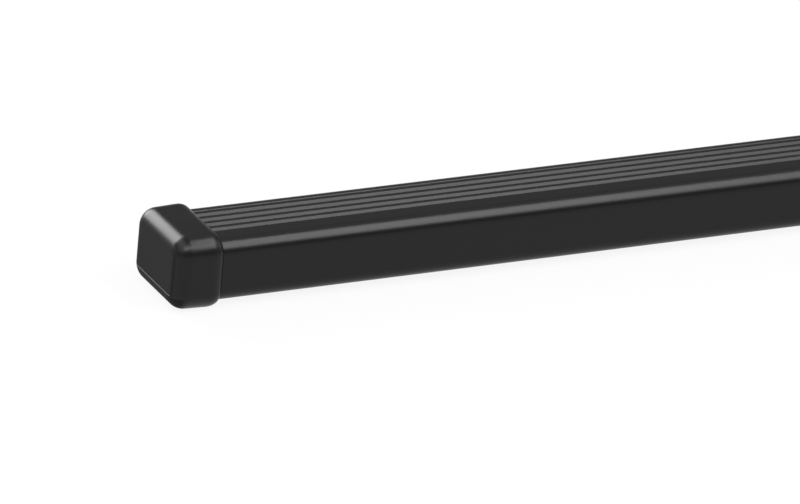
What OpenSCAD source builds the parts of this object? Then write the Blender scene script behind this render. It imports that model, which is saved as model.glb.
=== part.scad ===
// Crossbar of a roof rack: a coated rectangular steel tube with a push-on moulded cap at each end.
// The bar runs along X and +Z is up. The origin is under the bar's middle, level with the undersides
// of the caps, which stand proud of the bar and carry it when it lies on a flat surface.

/* [Bar] */
// Length the tube and its coating are cut to
bar_len = 1262; // [300:1:1800]
// Width over the coating
bar_w = 32; // [28:0.5:45]
// Height over the coating
bar_h = 22; // [20:0.5:35]
// Outer radius of the four long edges
bar_corner_r = 4.7; // [4:0.1:6]

/* [Steel tube] */
// Wall of the roll-formed tube
tube_wall = 2; // [1:0.1:2.5]

/* [Plastic coating] */
// Thickness of the coating
jacket_wall = 1.2; // [1:0.1:1.4]
// Number of full grooves along the top
groove_count = 4; // [1:1:4]
// Distance from one groove to the next
groove_pitch = 3.94; // [3:0.01:5]
// Width of a groove at the surface
groove_w = 2.3; // [1.2:0.1:2.6]
// Width of a groove's flat floor
groove_floor_w = 0.5; // [0.2:0.1:0.9]
// Depth of a full groove
groove_depth = 0.7; // [0.3:0.05:0.85]
// Surface width of the narrow groove beside the far rounding
edge_groove_w = 0.8; // [0.6:0.1:1.6]
// Flat left between the narrow groove and the far rounding
edge_land = 0.7; // [0:0.1:2]

/* [End cap, outside] */
// Length from the end face to the mouth
cap_len = 17.2; // [14:0.1:30]
// Wall of the skirt at the sides of the bar
cap_wall_side = 1.9; // [1:0.05:3]
// Wall of the skirt over the bar
cap_wall_top = 2.75; // [1:0.05:3]
// Wall of the skirt under the bar
cap_wall_bottom = 2.25; // [1:0.05:3]
// Slope of the skirt that lets it leave the mould, in degrees
cap_draft = 1.85; // [0:0.05:3]
// Rounding between the end face and the skirt
cap_edge_r = 5.7; // [4:0.1:6]
// Radius of the skirt's four long edges at the mouth
cap_corner_r = 6.8; // [6.6:0.1:8]
// Length of the rounded rim
rim_len = 3.8; // [1:0.1:6]
// Wall left at the very mouth, inside the rounded rim
rim_lip = 0.3; // [0.25:0.05:1]
// Height of the recess's lower edge above the bar's underside
recess_z = 3.85; // [2:0.05:6]
// Height of the recess across the end face
recess_h = 15.85; // [10:0.05:18]
// Depth of the recess, which runs out on the roundings at both sides
recess_depth = 0.45; // [0.1:0.05:0.8]

/* [End cap, inside] */
// Depth of the ledge that the bar's end stops on
cap_seat = 4; // [3.5:0.1:6]
// Wall behind the end face, inside the plug
end_wall = 2.2; // [1:0.1:3]
// How far the soft coating gives way all round under the skirt, which is a push fit on it
cap_squeeze = 0.2; // [0.05:0.01:0.3]
// Gap between the skirt and the squeezed coating
cap_clearance = 0.05; // [0.02:0.01:0.2]
// Width of the fine gap beside the mouth, before the coating has its full size again
mouth_gap = 0.3; // [0.1:0.05:1]
// Length of the plug inside the tube
plug_len = 14; // [10:0.5:40]
// Wall of the plug
plug_wall = 1.6; // [1:0.1:2.5]
// Gap between the plug and the tube
plug_clearance = 0.4; // [0.2:0.05:0.8]
// Length of the plug's tapered tip
tip_len = 2.5; // [1:0.1:5]
// How far the tip tapers in
tip_taper = 0.6; // [0.1:0.1:1]
// Width of a grip rib
rib_w = 1.4; // [0.8:0.1:3]
// Gap between a grip rib and the tube
rib_gap = 0.05; // [0.01:0.01:0.15]
// Distance between the two ribs on each wide side of the plug
rib_spacing = 13; // [6:0.5:16]

/* [Hidden] */

$fn = 72;
arc_steps = 10;      // facets in each long edge of the cap
edge_steps = 9;      // facets in the rounding of the end face
rim_steps = 8;       // facets in the rounded rim
least_r = 0.3;       // sharpest corner that the mould leaves
cut = 1;             // how far a cutting shape runs past what it cuts

coating_colour = "#1d1e20";
cap_colour = "#26272a";
zinc_colour = "#a9adb0";

// How far the skirt's inner surface lies outside the free coating, less than nothing when it bites
skirt_fit = cap_clearance - cap_squeeze;

// The bar's underside, the middle of its section, its left end, and where the coating gets its full
// size beside the mouth of the left cap
bar_z = cap_wall_bottom + skirt_fit;
mid_z = bar_z + bar_h / 2;
bar_end_x = -bar_len / 2;
full_size_x = bar_end_x - cap_seat + cap_len + mouth_gap;

// The steel inside the coating
tube_w = bar_w - 2 * jacket_wall;
tube_h = bar_h - 2 * jacket_wall;
tube_corner_r = bar_corner_r - jacket_wall;
bore_w = tube_w - 2 * tube_wall;
bore_h = tube_h - 2 * tube_wall;
bore_corner_r = max(tube_corner_r - tube_wall, least_r);

// The narrow groove ends beside the far rounding, and the full ones step back from it
edge_groove_y = bar_w / 2 - bar_corner_r - edge_land - edge_groove_w;
groove_wall_run = (groove_w - groove_floor_w) / 2;
edge_groove_depth = groove_depth * edge_groove_w / 2 / groove_wall_run;

// The plug inside the tube
plug_w = bore_w - 2 * plug_clearance;
plug_h = bore_h - 2 * plug_clearance;
plug_corner_r = max(bore_corner_r - plug_clearance, least_r);
rib_h = plug_clearance - rib_gap;
rim_x = cap_len - rim_len;

// A rectangle with round corners, centred on the origin
module rounded_rectangle(w, h, r) {
    square([w - 2 * r, h], center = true);
    square([w, h - 2 * r], center = true);
    for (y = [-1, 1], z = [-1, 1])
        translate([y * (w / 2 - r), z * (h / 2 - r)]) circle(r);
}

// Draws a section out along X, with the section's own X as the bar's Y
module along_x(x, length) {
    translate([x, 0, mid_z]) rotate([90, 0, 90]) linear_extrude(length) children();
}

// The cross-section of a full groove, from its near edge at y
module groove_section(y) {
    top = bar_h / 2;
    polygon([
        [y, top],
        [y + groove_wall_run, top - groove_depth],
        [y + groove_wall_run + groove_floor_w, top - groove_depth],
        [y + groove_w, top],
        [y + groove_w, top + cut],
        [y, top + cut],
    ]);
}

// The narrow groove has the same sloping walls and no floor
module edge_groove_section(y) {
    top = bar_h / 2;
    polygon([
        [y, top],
        [y + edge_groove_w / 2, top - edge_groove_depth],
        [y + edge_groove_w, top],
        [y + edge_groove_w, top + cut],
        [y, top + cut],
    ]);
}

// Welded steel tube, cut square, that carries the load
module steel_tube() {
    color(zinc_colour)
        along_x(bar_end_x, bar_len)
            difference() {
                rounded_rectangle(tube_w, tube_h, tube_corner_r);
                rounded_rectangle(bore_w, bore_h, bore_corner_r);
            }
}

// Plastic drawn over the tube as one skin, with the grip grooves along its top. It has its full
// size between the caps' mouths and is squeezed under the skirts.
module plastic_jacket() {
    color(coating_colour)
        difference() {
            union() {
                along_x(full_size_x, -2 * full_size_x) rounded_rectangle(bar_w, bar_h, bar_corner_r);
                along_x(bar_end_x, bar_len)
                    rounded_rectangle(
                        bar_w - 2 * cap_squeeze,
                        bar_h - 2 * cap_squeeze,
                        bar_corner_r - cap_squeeze
                    );
            }
            along_x(bar_end_x - cut, bar_len + 2 * cut) {
                rounded_rectangle(tube_w, tube_h, tube_corner_r);
                for (i = [1 : groove_count]) groove_section(edge_groove_y - i * groove_pitch);
                edge_groove_section(edge_groove_y);
            }
        }
}

// One closed loop of points at x round a rectangle with round corners
function ring(x, w, bottom, top, r) = [
    for (corner = [0 : 3], i = [0 : arc_steps])
        let (
            a = 90 * (corner + i / arc_steps),
            y = (corner == 0 || corner == 3 ? 1 : -1) * (w / 2 - r),
            z = corner < 2 ? top - r : bottom + r
        )
        [x, y + r * cos(a), z + r * sin(a)]
];

// A solid skinned over loops with equal numbers of points, given in order along X
module loft(rings) {
    n = len(rings[0]);
    last = (len(rings) - 1) * n;
    sides = [
        for (k = [0 : len(rings) - 2], i = [0 : n - 1])
            let (a = k * n + i, b = k * n + (i + 1) % n)
            each [[a, b + n, b], [a, a + n, b + n]]
    ];
    first_face = [for (i = [0 : n - 1]) i];
    last_face = [for (i = [n - 1 : -1 : 0]) last + i];
    polyhedron([for (r = rings) each r], concat([first_face, last_face], sides));
}

// The skirt's outside at x: full is 1 on the skirt and 0 at the lip, and inset draws all sides in
function skirt_ring(x, inset, full) =
    let (
        lip = skirt_fit + rim_lip,
        side = lip + full * (cap_wall_side - rim_lip) - inset,
        top = lip + full * (cap_wall_top - rim_lip) - inset,
        bottom = lip + full * (cap_wall_bottom - rim_lip) - inset,
        lip_r = bar_corner_r + lip,
        r = lip_r + full * (cap_corner_r - lip_r) - inset
    )
    ring(x, bar_w + 2 * side, bar_z - bottom, bar_z + bar_h + top, max(r, least_r));

// Rounded end, drafted skirt and rounded rim, from the end face at x = 0 to the mouth
module cap_outside() {
    end_rings = [
        for (i = [0 : edge_steps])
            let (
                t = 90 * i / edge_steps,
                x = cap_edge_r * (1 - cos(t)),
                round_in = cap_edge_r * (1 - sin(t)),
                draft_in = (rim_x - x) * tan(cap_draft)
            )
            skirt_ring(x, round_in + draft_in, 1)
    ];
    rim_rings = [
        for (i = [0 : rim_steps])
            let (t = 90 * i / rim_steps)
            skirt_ring(rim_x + rim_len * sin(t), 0, cos(t))
    ];
    loft(concat(end_rings, rim_rings));
}

// The part of the plug that fills the tube's end, with a tapered tip to find its way in
module plug_outside() {
    tip_x = cap_seat + plug_len;
    taper_x = tip_x - tip_len;
    loft([
        ring(end_wall, plug_w, mid_z - plug_h / 2, mid_z + plug_h / 2, plug_corner_r),
        ring(taper_x, plug_w, mid_z - plug_h / 2, mid_z + plug_h / 2, plug_corner_r),
        ring(
            tip_x, plug_w - 2 * tip_taper,
            mid_z - plug_h / 2 + tip_taper, mid_z + plug_h / 2 - tip_taper,
            plug_corner_r
        ),
    ]);
}

// A grip rib that stands up from a face of the plug and slopes down to its tip, drawn on Z = 0
module grip_rib() {
    taper_x = cap_seat + plug_len - tip_len;
    start_x = cap_seat - cut;
    root = plug_wall / 2;
    translate([0, rib_w / 2, 0]) rotate([90, 0, 0]) linear_extrude(rib_w)
        polygon([
            [start_x, -root],
            [start_x, rib_h],
            [taper_x - tip_len, rib_h],
            [taper_x, 0],
            [taper_x, -root],
        ]);
}

// Two ribs above and below the plug and one at each side
module grip_ribs() {
    for (side = [0, 180]) translate([0, 0, mid_z]) rotate([side, 0, 0]) {
        for (y = [-1, 1]) translate([0, y * rib_spacing / 2, plug_h / 2]) grip_rib();
        rotate([90, 0, 0]) translate([0, 0, plug_w / 2]) grip_rib();
    }
}

// One moulded cap with its end face at x = 0 and its mouth towards +X. A shallow recess crosses the
// end face.
module moulded_cap() {
    plug_hollow_r = max(plug_corner_r - plug_wall, least_r);
    difference() {
        union() {
            difference() {
                cap_outside();
                along_x(cap_seat, cap_len)
                    rounded_rectangle(
                        bar_w + 2 * skirt_fit,
                        bar_h + 2 * skirt_fit,
                        bar_corner_r + skirt_fit
                    );
            }
            plug_outside();
            grip_ribs();
        }
        along_x(end_wall, cap_seat + plug_len)
            rounded_rectangle(plug_w - 2 * plug_wall, plug_h - 2 * plug_wall, plug_hollow_r);
        translate([recess_depth - cut, -bar_w / 2, bar_z + recess_z]) cube([cut, bar_w, recess_h]);
    }
}

module end_cap_left() {
    color(cap_colour) translate([bar_end_x - cap_seat, 0, 0]) moulded_cap();
}

// The same moulding turned round for the other end
module end_cap_right() {
    color(cap_colour) rotate([0, 0, 180]) translate([bar_end_x - cap_seat, 0, 0]) moulded_cap();
}

steel_tube();
plastic_jacket();
end_cap_left();
end_cap_right();
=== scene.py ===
"""Roof rack crossbar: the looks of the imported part, its floor, lights and camera. Metres, +Z up."""
import math

import bmesh
import bpy
from mathutils import Matrix, Vector


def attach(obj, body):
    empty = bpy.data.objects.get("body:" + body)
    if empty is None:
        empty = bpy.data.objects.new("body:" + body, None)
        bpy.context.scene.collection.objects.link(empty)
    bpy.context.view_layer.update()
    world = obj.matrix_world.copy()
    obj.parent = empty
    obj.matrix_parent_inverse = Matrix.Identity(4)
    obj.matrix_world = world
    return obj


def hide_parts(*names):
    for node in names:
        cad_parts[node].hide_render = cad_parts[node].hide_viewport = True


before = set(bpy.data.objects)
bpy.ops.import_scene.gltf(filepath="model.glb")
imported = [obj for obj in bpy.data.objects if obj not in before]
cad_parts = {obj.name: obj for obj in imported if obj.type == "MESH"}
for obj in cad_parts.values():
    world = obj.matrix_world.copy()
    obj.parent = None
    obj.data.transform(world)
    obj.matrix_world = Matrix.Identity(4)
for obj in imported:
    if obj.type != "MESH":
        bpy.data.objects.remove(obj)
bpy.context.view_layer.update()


# ---- Steel tube ----
# The load-carrying core: a roll-formed and seam-welded rectangular tube, hot-dip galvanised. It
# runs the whole length of the bar, inside the coating and the caps.

def new_material(name):
    """An empty material with its output and a Principled BSDF."""
    material = bpy.data.materials.new(name)
    material.use_nodes = True
    tree = material.node_tree
    tree.nodes.clear()
    output = tree.nodes.new("ShaderNodeOutputMaterial")
    surface = tree.nodes.new("ShaderNodeBsdfPrincipled")
    tree.links.new(surface.outputs["BSDF"], output.inputs["Surface"])
    return material, tree, surface


def new_group(name, inputs, outputs):
    """A shader node group with its sockets, given as (type, name, value) and (type, name)."""
    group = bpy.data.node_groups.new(name, "ShaderNodeTree")
    for kind, socket_name, value in inputs:
        socket = group.interface.new_socket(socket_name, in_out="INPUT", socket_type=kind)
        if value is not None:
            socket.default_value = value
    for kind, socket_name in outputs:
        group.interface.new_socket(socket_name, in_out="OUTPUT", socket_type=kind)
    return group, group.nodes.new("NodeGroupInput"), group.nodes.new("NodeGroupOutput")


def reckon(tree, operation, first, second=None):
    """The result of a Math node over one or two sockets or numbers."""
    node = tree.nodes.new("ShaderNodeMath")
    node.operation = operation
    for socket, value in zip(node.inputs, (first, second)):
        if isinstance(value, bpy.types.NodeSocket):
            tree.links.new(value, socket)
        elif value is not None:
            socket.default_value = value
    return node.outputs[0]


def map_range(tree, value, start, end, low=0.0, high=1.0):
    """A value that goes from low to high while the given one goes from start to end."""
    node = tree.nodes.new("ShaderNodeMapRange")
    node.inputs["From Min"].default_value = start
    node.inputs["From Max"].default_value = end
    node.inputs["To Min"].default_value = low
    node.inputs["To Max"].default_value = high
    tree.links.new(value, node.inputs["Value"])
    return node.outputs["Result"]


def fine_grain_group():
    """Fine surface grain of a drawn, rolled or moulded skin: a height and a slow tone change."""
    group, given, made = new_group(
        "fine_grain",
        [
            ("NodeSocketVector", "Coordinates", None),
            ("NodeSocketVector", "Stretch", (1.0, 1.0, 1.0)),
            ("NodeSocketFloat", "Grains per metre", 2000.0),
            ("NodeSocketFloat", "Height", 0.000004),
            ("NodeSocketFloat", "Clouds per metre", 40.0),
        ],
        [("NodeSocketFloat", "Height"), ("NodeSocketFloat", "Clouds")],
    )
    nodes, link = group.nodes, group.links.new
    along = nodes.new("ShaderNodeVectorMath")
    along.operation = "MULTIPLY"
    link(given.outputs["Coordinates"], along.inputs[0])
    link(given.outputs["Stretch"], along.inputs[1])
    grains = nodes.new("ShaderNodeTexNoise")
    grains.inputs["Detail"].default_value = 3.0
    grains.inputs["Roughness"].default_value = 0.55
    link(along.outputs[0], grains.inputs["Vector"])
    link(given.outputs["Grains per metre"], grains.inputs["Scale"])
    clouds = nodes.new("ShaderNodeTexNoise")
    clouds.inputs["Detail"].default_value = 2.0
    link(along.outputs[0], clouds.inputs["Vector"])
    link(given.outputs["Clouds per metre"], clouds.inputs["Scale"])
    height = reckon(group, "MULTIPLY", grains.outputs["Fac"], given.outputs["Height"])
    link(height, made.inputs["Height"])
    link(clouds.outputs["Fac"], made.inputs["Clouds"])
    return group


fine_grain = fine_grain_group()


def place_grain(tree, stretch, grains, height, clouds):
    """Puts the grain in a material, on the part's own coordinates."""
    where = tree.nodes.new("ShaderNodeTexCoord")
    grain = tree.nodes.new("ShaderNodeGroup")
    grain.node_tree = fine_grain
    grain.inputs["Stretch"].default_value = stretch
    grain.inputs["Grains per metre"].default_value = grains
    grain.inputs["Height"].default_value = height
    grain.inputs["Clouds per metre"].default_value = clouds
    tree.links.new(where.outputs["Object"], grain.inputs["Coordinates"])
    return where, grain


# A noise lies about 0.5: it counts as empty below the first value and as full above the second
noise_empty, noise_full = 0.3, 0.7


def spread(tree, mask, low, high):
    """Turns a mask about 0.5 into a value between low and high."""
    return map_range(tree, mask, noise_empty, noise_full, low, high)


def blend_colours(tree, mask, first, second):
    """A colour that goes from first to second with a mask about 0.5."""
    ramp = tree.nodes.new("ShaderNodeValToRGB")
    stops = ramp.color_ramp.elements
    for stop, position, colour in zip(stops, (noise_empty, noise_full), (first, second)):
        stop.position = position
        stop.color = (*colour, 1.0)
    tree.links.new(mask, ramp.inputs["Fac"])
    return ramp.outputs["Color"]


def raise_surface(tree, surface, height):
    """Feeds a height in metres to the surface's normal."""
    bump = tree.nodes.new("ShaderNodeBump")
    bump.inputs["Strength"].default_value = 1.0
    bump.inputs["Distance"].default_value = 1.0
    tree.links.new(height, bump.inputs["Height"])
    tree.links.new(bump.outputs["Normal"], surface.inputs["Normal"])


def dress_node(node, material):
    """Gives a carried-over solid its material."""
    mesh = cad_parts[node].data
    for i in range(len(mesh.materials)):
        mesh.materials[i] = material


# Zinc freezes in flat crystals about a centimetre across, each with its own sheen
zinc, tree, surface = new_material("galvanised_steel")
surface.inputs["Metallic"].default_value = 1.0
where, grain = place_grain(
    tree, stretch=(0.2, 1.0, 1.0), grains=1500.0, height=0.000003, clouds=60.0,
)
crystals = tree.nodes.new("ShaderNodeTexVoronoi")
crystals.inputs["Scale"].default_value = 120.0
tree.links.new(where.outputs["Object"], crystals.inputs["Vector"])
split = tree.nodes.new("ShaderNodeSeparateColor")
tree.links.new(crystals.outputs["Color"], split.inputs["Color"])
zinc_colour = blend_colours(tree, split.outputs["Red"], (0.42, 0.44, 0.46), (0.62, 0.64, 0.66))
zinc_roughness = spread(tree, split.outputs["Green"], low=0.34, high=0.52)
tree.links.new(zinc_colour, surface.inputs["Base Color"])
tree.links.new(zinc_roughness, surface.inputs["Roughness"])
raise_surface(tree, surface, grain.outputs["Height"])
dress_node("steel_tube", zinc)


# ---- Plastic coating ----
# A black plastic skin drawn over the tube in one pass. The die gives it a satin surface with very
# fine lines along the bar, and leaves the grip grooves that run the length of its top.

plastic_specular = 0.25
plastic_blacks = (0.0026, 0.0027, 0.0030), (0.0034, 0.0035, 0.0039)

coating, tree, surface = new_material("drawn_coating")
surface.inputs["Specular IOR Level"].default_value = plastic_specular
_, grain = place_grain(
    tree, stretch=(0.012, 1.0, 1.0), grains=2600.0, height=0.0000035, clouds=30.0,
)
coating_colour = blend_colours(tree, grain.outputs["Clouds"], *plastic_blacks)
coating_roughness = spread(tree, grain.outputs["Clouds"], low=0.31, high=0.35)
tree.links.new(coating_colour, surface.inputs["Base Color"])
tree.links.new(coating_roughness, surface.inputs["Roughness"])
raise_surface(tree, surface, grain.outputs["Height"])
dress_node("plastic_jacket", coating)


# ---- End caps ----
# Injection-moulded black plastic, one at each end of the bar. The skirt is pushed over the coating
# and a hollow plug with grip ribs holds inside the tube, where the cap needs no screw.

# The bar in the caps' mouths
bar_width = 0.032
bar_height = 0.022
bar_corner = 0.0047
bar_underside = 0.0021
bar_middle = bar_underside + bar_height / 2

# The skirt: its walls are measured at the rim, and towards the end the draft draws them in
end_face_x = -0.635
cap_length = 0.0172
skirt_fit = -0.00015
side_wall = 0.0019
top_wall = 0.00275
bottom_wall = 0.00225
skirt_corner = 0.0068
end_rounding = 0.0057
rim_length = 0.0038
rim_wall = 0.0003
draft = math.tan(math.radians(1.85))

# The plug, its hollow and its grip ribs: places along the cap are measured from the end face
ledge_x = 0.004
plug_half_width = 0.0124
plug_half_height = 0.0074
plug_corner = 0.0011
plug_wall = 0.0016
plug_end_x = 0.018
plug_taper = 0.0025
plug_tip_inset = 0.0006
hollow_corner = 0.0003
hollow_floor_x = 0.0022
rib_half_width = 0.0007
rib_height = 0.00035
rib_root = 0.0008
rib_sunk_end = 0.0005
rib_slope_x = 0.013
rib_offset = 0.0065

# The recess in the end face
recess_underside = bar_underside + 0.00385
recess_height = 0.01585
recess_depth = 0.0003
recess_draft = 0.0003
recess_flat_end = 0.0117

# How finely the skin is faceted: round each corner, over the end, along the side, over the rim
corner_facets = 24
rounding_facets = 24
side_facets = 4
rim_facets = 16
sharp_edge = math.radians(32)
merge_distance = 1e-7


def round_ring(x, width, bottom, top, corner):
    """Points of one loop round a rectangle with round corners, as seen along the bar."""
    points = []
    for quarter in range(4):
        across = 1 if quarter in (0, 3) else -1
        middle_y = across * (width / 2 - corner)
        middle_z = top - corner if quarter < 2 else bottom + corner
        for i in range(corner_facets + 1):
            turn = math.pi / 2 * (quarter + i / corner_facets)
            y = middle_y + corner * math.cos(turn)
            z = middle_z + corner * math.sin(turn)
            points.append((x, y, z))
    return points


def skirt_ring(x, inset, full):
    """A loop of the skirt: full is 1 on it and 0 at its lip, and inset draws all sides in."""
    lip = skirt_fit + rim_wall
    side = lip + full * (side_wall - rim_wall) - inset
    top = lip + full * (top_wall - rim_wall) - inset
    bottom = lip + full * (bottom_wall - rim_wall) - inset
    lip_corner = bar_corner + lip
    corner = lip_corner + full * (skirt_corner - lip_corner) - inset
    return round_ring(
        x, bar_width + 2 * side, bar_underside - bottom, bar_underside + bar_height + top, corner,
    )


def inner_ring(x, half_width, half_height, corner):
    """A loop of the pocket or the plug, about the middle of the bar's section."""
    return round_ring(x, 2 * half_width, bar_middle - half_height, bar_middle + half_height, corner)


def cap_rings():
    """Loops over the whole skin of a cap, from the middle of its end face round to its hollow."""
    rim_x = cap_length - rim_length
    rings = []
    for i in range(rounding_facets + 1):
        turn = math.pi / 2 * i / rounding_facets
        x = end_rounding * (1 - math.cos(turn))
        rings.append(skirt_ring(x, end_rounding * (1 - math.sin(turn)) + (rim_x - x) * draft, 1))
    for i in range(1, side_facets):
        x = end_rounding + (rim_x - end_rounding) * i / side_facets
        rings.append(skirt_ring(x, (rim_x - x) * draft, 1))
    for i in range(rim_facets + 1):
        turn = math.pi / 2 * i / rim_facets
        rings.append(skirt_ring(rim_x + rim_length * math.sin(turn), 0, math.cos(turn)))
    pocket = (bar_width / 2 + skirt_fit, bar_height / 2 + skirt_fit, bar_corner + skirt_fit)
    plug = (plug_half_width, plug_half_height, plug_corner)
    plug_tip = (plug_half_width - plug_tip_inset, plug_half_height - plug_tip_inset, plug_corner)
    hollow = (plug_half_width - plug_wall, plug_half_height - plug_wall, hollow_corner)
    rings.append(inner_ring(cap_length, *pocket))
    rings.append(inner_ring(ledge_x, *pocket))
    rings.append(inner_ring(ledge_x, *plug))
    rings.append(inner_ring(plug_end_x - plug_taper, *plug))
    rings.append(inner_ring(plug_end_x, *plug_tip))
    rings.append(inner_ring(plug_end_x, *hollow))
    rings.append(inner_ring(hollow_floor_x, *hollow))
    return rings


def add_rib(mesh, middle, across, out):
    """A grip rib on the plug: it starts in the ledge and slopes down towards the plug's tip."""

    def row(x, height):
        """Two corners of the rib at x, at a height over the plug's wall."""
        line = Vector((x, 0, 0)) + middle + out * height
        return [mesh.verts.new(line + across * rib_half_width * side) for side in (-1, 1)]

    start_x = ledge_x - rib_sunk_end
    tip_x = plug_end_x - plug_taper
    top = [row(start_x, rib_height), row(rib_slope_x, rib_height), row(tip_x, 0.0)]
    root = [row(x, -rib_root) for x in (start_x, rib_slope_x, tip_x)]
    for a, b in ((0, 1), (1, 2)):
        mesh.faces.new((top[a][0], top[b][0], top[b][1], top[a][1]))
        mesh.faces.new((root[a][0], root[a][1], root[b][1], root[b][0]))
        mesh.faces.new((top[a][0], root[a][0], root[b][0], top[b][0]))
        mesh.faces.new((top[a][1], top[b][1], root[b][1], root[a][1]))
    mesh.faces.new((top[0][0], top[0][1], root[0][1], root[0][0]))
    mesh.faces.new((top[2][0], root[2][0], root[2][1], top[2][1]))


def moulded_cap(name):
    """A cap with its end face at x = 0 and its mouth towards +X."""
    mesh = bmesh.new()
    loops = [[mesh.verts.new(point) for point in ring] for ring in cap_rings()]
    count = len(loops[0])
    for near, far in zip(loops, loops[1:]):
        for i in range(count):
            k = (i + 1) % count
            mesh.faces.new((near[i], far[i], far[k], near[k]))
    mesh.faces.new(loops[0])
    mesh.faces.new(list(reversed(loops[-1])))
    y, z = Vector((0, 1, 0)), Vector((0, 0, 1))
    for side in (-1, 1):
        for offset in (-rib_offset, rib_offset):
            add_rib(mesh, Vector((0, offset, bar_middle + side * plug_half_height)), y, z * side)
        add_rib(mesh, Vector((0, side * plug_half_width, bar_middle)), z, y * side)
    bmesh.ops.remove_doubles(mesh, verts=mesh.verts, dist=merge_distance)
    bmesh.ops.recalc_face_normals(mesh, faces=mesh.faces)
    data = bpy.data.meshes.new(name)
    mesh.to_mesh(data)
    mesh.free()
    cap = bpy.data.objects.new(name, data)
    bpy.context.scene.collection.objects.link(cap)
    return cap


def cut_recess(cap):
    """Cuts the shallow recess with drafted ledges, which crosses the end face from side to side."""
    reach = 0.001
    flare_at_reach = recess_draft * reach / recess_depth
    cutter_mesh = bmesh.new()
    corners = []
    for x, flare in ((recess_depth - reach, flare_at_reach), (recess_depth, 0.0)):
        for y in (-bar_width / 2, bar_width / 2):
            for z in (recess_underside - flare, recess_underside + recess_height + flare):
                corners.append(cutter_mesh.verts.new((x, y, z)))
    bmesh.ops.convex_hull(cutter_mesh, input=corners)
    cutter_data = bpy.data.meshes.new("recess_cutter")
    cutter_mesh.to_mesh(cutter_data)
    cutter_mesh.free()
    cutter = bpy.data.objects.new("recess_cutter", cutter_data)
    bpy.context.scene.collection.objects.link(cutter)
    boolean = cap.modifiers.new("recess", "BOOLEAN")
    boolean.operation = "DIFFERENCE"
    boolean.solver = "EXACT"
    boolean.object = cutter
    bpy.context.view_layer.update()
    evaluated = cap.evaluated_get(bpy.context.evaluated_depsgraph_get())
    cut_mesh = bpy.data.meshes.new_from_object(evaluated)
    cap.modifiers.clear()
    cap.data = cut_mesh
    bpy.data.objects.remove(cutter)


def soften_recess(cap):
    """Splits the recess's floor near its two ends, so that its shading turns there only."""
    facing_out = -0.999
    level_tolerance = 1e-6
    mesh = bmesh.new()
    mesh.from_mesh(cap.data)
    bmesh.ops.remove_doubles(mesh, verts=mesh.verts, dist=merge_distance)
    for side in (-1, 1):
        faces = [
            face for face in mesh.faces
            if face.normal.x < facing_out
            and all(abs(vert.co.x - recess_depth) < level_tolerance for vert in face.verts)
        ]
        edges = list(dict.fromkeys(edge for face in faces for edge in face.edges))
        verts = list(dict.fromkeys(vert for face in faces for vert in face.verts))
        bmesh.ops.bisect_plane(
            mesh, geom=faces + edges + verts, dist=merge_distance,
            plane_co=(0, side * recess_flat_end, 0), plane_no=(0, 1, 0),
        )
    mesh.to_mesh(cap.data)
    mesh.free()


cap_plastic, tree, surface = new_material("moulded_plastic")
surface.inputs["Specular IOR Level"].default_value = plastic_specular
where, grain = place_grain(
    tree, stretch=(1.0, 1.0, 1.0), grains=3200.0, height=0.000004, clouds=90.0,
)
cap_colour = blend_colours(tree, grain.outputs["Clouds"], *plastic_blacks)
tree.links.new(cap_colour, surface.inputs["Base Color"])
satin = spread(tree, grain.outputs["Clouds"], low=0.30, high=0.34)

# The mould is spark-eroded over the end face, and below the recess also over the rounding, which
# leaves a matt skin there. The recess's lower ledge is half as matt. Each matt area fades in
# between two distances from the end face, and over a short height above or below the ledge.
eroded_roughness = 0.86
ledge_matt = 0.5
face_fade, face_full = 0.0011, 0.0004
rounding_fade, rounding_full = 0.0050, 0.0030
ledge_fade = 0.00005
below_fade = 0.00015

half_length = -end_face_x
ledge_middle = recess_underside - recess_draft / 2
ledge_foot = recess_underside - recess_draft
place = tree.nodes.new("ShaderNodeSeparateXYZ")
tree.links.new(where.outputs["Object"], place.inputs["Vector"])
height_here = place.outputs["Z"]
from_middle = reckon(tree, "ABSOLUTE", place.outputs["X"])
eroded_end = map_range(tree, from_middle, half_length - face_fade, half_length - face_full)
from_ledge = reckon(tree, "ABSOLUTE", reckon(tree, "SUBTRACT", height_here, ledge_middle))
ledge_edge = recess_draft / 2
off_ledge = map_range(tree, from_ledge, ledge_edge, ledge_edge + ledge_fade, low=ledge_matt)
eroded_face = reckon(tree, "MULTIPLY", eroded_end, off_ledge)
lower_end = map_range(tree, from_middle, half_length - rounding_fade, half_length - rounding_full)
below_recess = map_range(tree, height_here, ledge_foot, ledge_foot - below_fade)
eroded_rounding = reckon(tree, "MULTIPLY", lower_end, below_recess)
eroded = reckon(tree, "MAXIMUM", eroded_face, eroded_rounding)
gloss = tree.nodes.new("ShaderNodeMix")
gloss.inputs["B"].default_value = eroded_roughness
tree.links.new(eroded, gloss.inputs["Factor"])
tree.links.new(satin, gloss.inputs["A"])
tree.links.new(gloss.outputs["Result"], surface.inputs["Roughness"])
raise_surface(tree, surface, grain.outputs["Height"])

for side, name in ((-1, "end_cap_left"), (1, "end_cap_right")):
    cap = moulded_cap(name + "_skin")
    cut_recess(cap)
    soften_recess(cap)
    turned = Matrix.Rotation(math.pi, 4, "Z") if side == 1 else Matrix.Identity(4)
    cap.data.transform(turned @ Matrix.Translation((end_face_x, 0, 0)))
    cap.data.materials.clear()
    cap.data.materials.append(cap_plastic)
    cap.data.shade_smooth()
    cap.data.set_sharp_from_angle(angle=sharp_edge)
    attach(cap, "root")
    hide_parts(name)


# ---- Floor and light ----
# A plain white floor under large soft lights. Two strips high in front draw the highlights along
# the bar and over the cap's near edge, a low panel behind draws the one over the cap's end, and
# four weaker panels fill.

floor_size = 12.0
floor_tone = 0.52
floor_lift = 0.9

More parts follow.
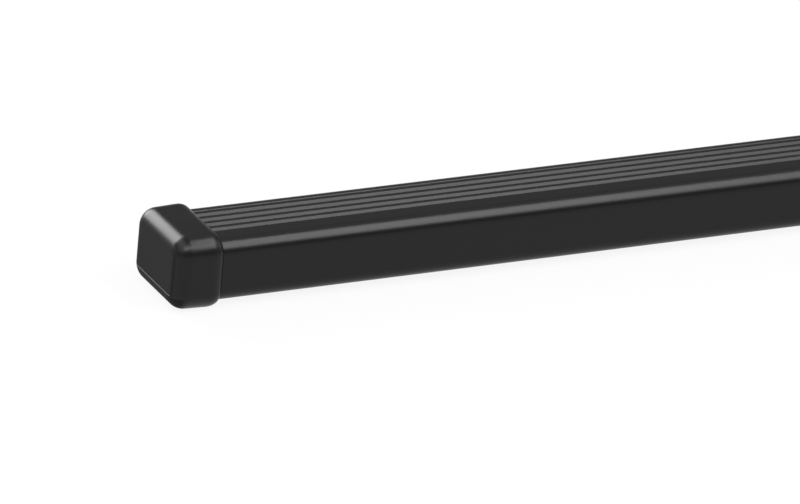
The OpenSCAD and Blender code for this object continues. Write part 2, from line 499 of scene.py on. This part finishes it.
floor_material, tree, surface = new_material("white_floor")
surface.inputs["Base Color"].default_value = (floor_tone, floor_tone, floor_tone, 1.0)
surface.inputs["Roughness"].default_value = 1.0
surface.inputs["Specular IOR Level"].default_value = 0.0
plain_white = tree.nodes.new("ShaderNodeEmission")
plain_white.inputs["Strength"].default_value = 1.0
ray = tree.nodes.new("ShaderNodeLightPath").outputs
seen_or_glossy = reckon(tree, "MAXIMUM", ray["Is Camera Ray"], ray["Is Glossy Ray"])
seen_at_all = reckon(tree, "MAXIMUM", seen_or_glossy, ray["Is Transmission Ray"])
lift = reckon(tree, "MULTIPLY", seen_at_all, floor_lift)
lifted = tree.nodes.new("ShaderNodeMixShader")
tree.links.new(lift, lifted.inputs["Fac"])
tree.links.new(surface.outputs["BSDF"], lifted.inputs[1])
tree.links.new(plain_white.outputs["Emission"], lifted.inputs[2])
tree.links.new(lifted.outputs["Shader"], tree.nodes["Material Output"].inputs["Surface"])
bpy.ops.mesh.primitive_plane_add(size=floor_size, location=(0, 0, 0))
floor = bpy.context.object
floor.name = "floor"
floor.data.materials.append(floor_material)

world = bpy.data.worlds.new("studio")
bpy.context.scene.world = world
world.use_nodes = True
world.node_tree.nodes["Background"].inputs["Color"].default_value = (0.25, 0.25, 0.254, 1.0)

seen_stretch = Vector((-0.54, 0, 0.02))
lamp_distance = 3.6


def area_light(name, towards, along, length, width, radiance):
    """A rectangular light that faces the stretch of bar in view, with its length along a line."""
    lamp = bpy.data.lights.new(name, "AREA")
    lamp.shape = "RECTANGLE"
    lamp.size = length
    lamp.size_y = width
    lamp.energy = radiance * math.pi * length * width
    holder = bpy.data.objects.new(name, lamp)
    bpy.context.scene.collection.objects.link(holder)
    z_axis = Vector(towards).normalized()
    x_axis = (Vector(along) - z_axis * z_axis.dot(Vector(along))).normalized()
    turned = Matrix((x_axis, z_axis.cross(x_axis), z_axis)).transposed().to_4x4()
    holder.matrix_world = Matrix.Translation(seen_stretch + z_axis * lamp_distance) @ turned


area_light(
    "high_strip", towards=(0.440, -0.389, 0.809), along=(-0.003, 0.900, 0.434),
    length=3.55, width=0.68, radiance=13.2,
)
area_light(
    "high_cross_strip", towards=(-0.19, -0.60, 0.775), along=(1.0, 0.1, 0.0),
    length=3.3, width=0.95, radiance=8.9,
)
area_light(
    "low_back_panel", towards=(-0.275, 0.855, 0.44), along=(0.953, 0.30, 0.0),
    length=2.1, width=2.5, radiance=10.2,
)
area_light(
    "upper_left_panel", towards=(-0.49, -0.03, 0.87), along=(0.0, 1.0, 0.0),
    length=3.8, width=2.2, radiance=2.0,
)
area_light(
    "far_fill", towards=(0.44, 0.38, 0.81), along=(0.82, -0.57, 0.0),
    length=2.0, width=1.6, radiance=0.5,
)
area_light(
    "left_fill", towards=(-0.85, -0.15, 0.5), along=(0.0, 1.0, 0.0),
    length=3.2, width=1.8, radiance=1.3,
)
area_light(
    "right_fill", towards=(0.875, -0.22, 0.43), along=(0.25, 0.97, 0.0),
    length=2.0, width=1.8, radiance=1.6,
)


# ---- Camera ----
# A long lens well back from the bar, a little above it and off its near end. It looks past the
# middle of the end face, by the two shifts.

view_azimuth = math.radians(28.576)
view_height = math.radians(24.1756)
view_roll = math.radians(5.4471)
eye_distance = 2.815877
eye_shift_right = 0.0813375
eye_shift_up = 0.0027471
focal_length_mm = 383.1875

back = Vector((
    -math.sin(view_azimuth) * math.cos(view_height),
    -math.cos(view_azimuth) * math.cos(view_height),
    math.sin(view_height),
))
level_right = Vector((math.cos(view_azimuth), -math.sin(view_azimuth), 0))
level_up = back.cross(level_right)
right = level_right * math.cos(view_roll) + level_up * math.sin(view_roll)
up = level_up * math.cos(view_roll) - level_right * math.sin(view_roll)
camera_data = bpy.data.cameras.new("camera")
camera_data.sensor_width = 36.0
camera_data.lens = focal_length_mm
camera_data.clip_start = 0.05
camera_data.clip_end = 50.0
camera = bpy.data.objects.new("camera", camera_data)
bpy.context.scene.collection.objects.link(camera)
axes = Matrix((right, up, back)).transposed().to_4x4()
end_face_middle = Vector((end_face_x, 0, bar_middle))
eye = end_face_middle + back * eye_distance + right * eye_shift_right + up * eye_shift_up
camera.matrix_world = Matrix.Translation(eye) @ axes
bpy.context.scene.camera = camera
bpy.context.scene.view_settings.view_transform = "Standard"
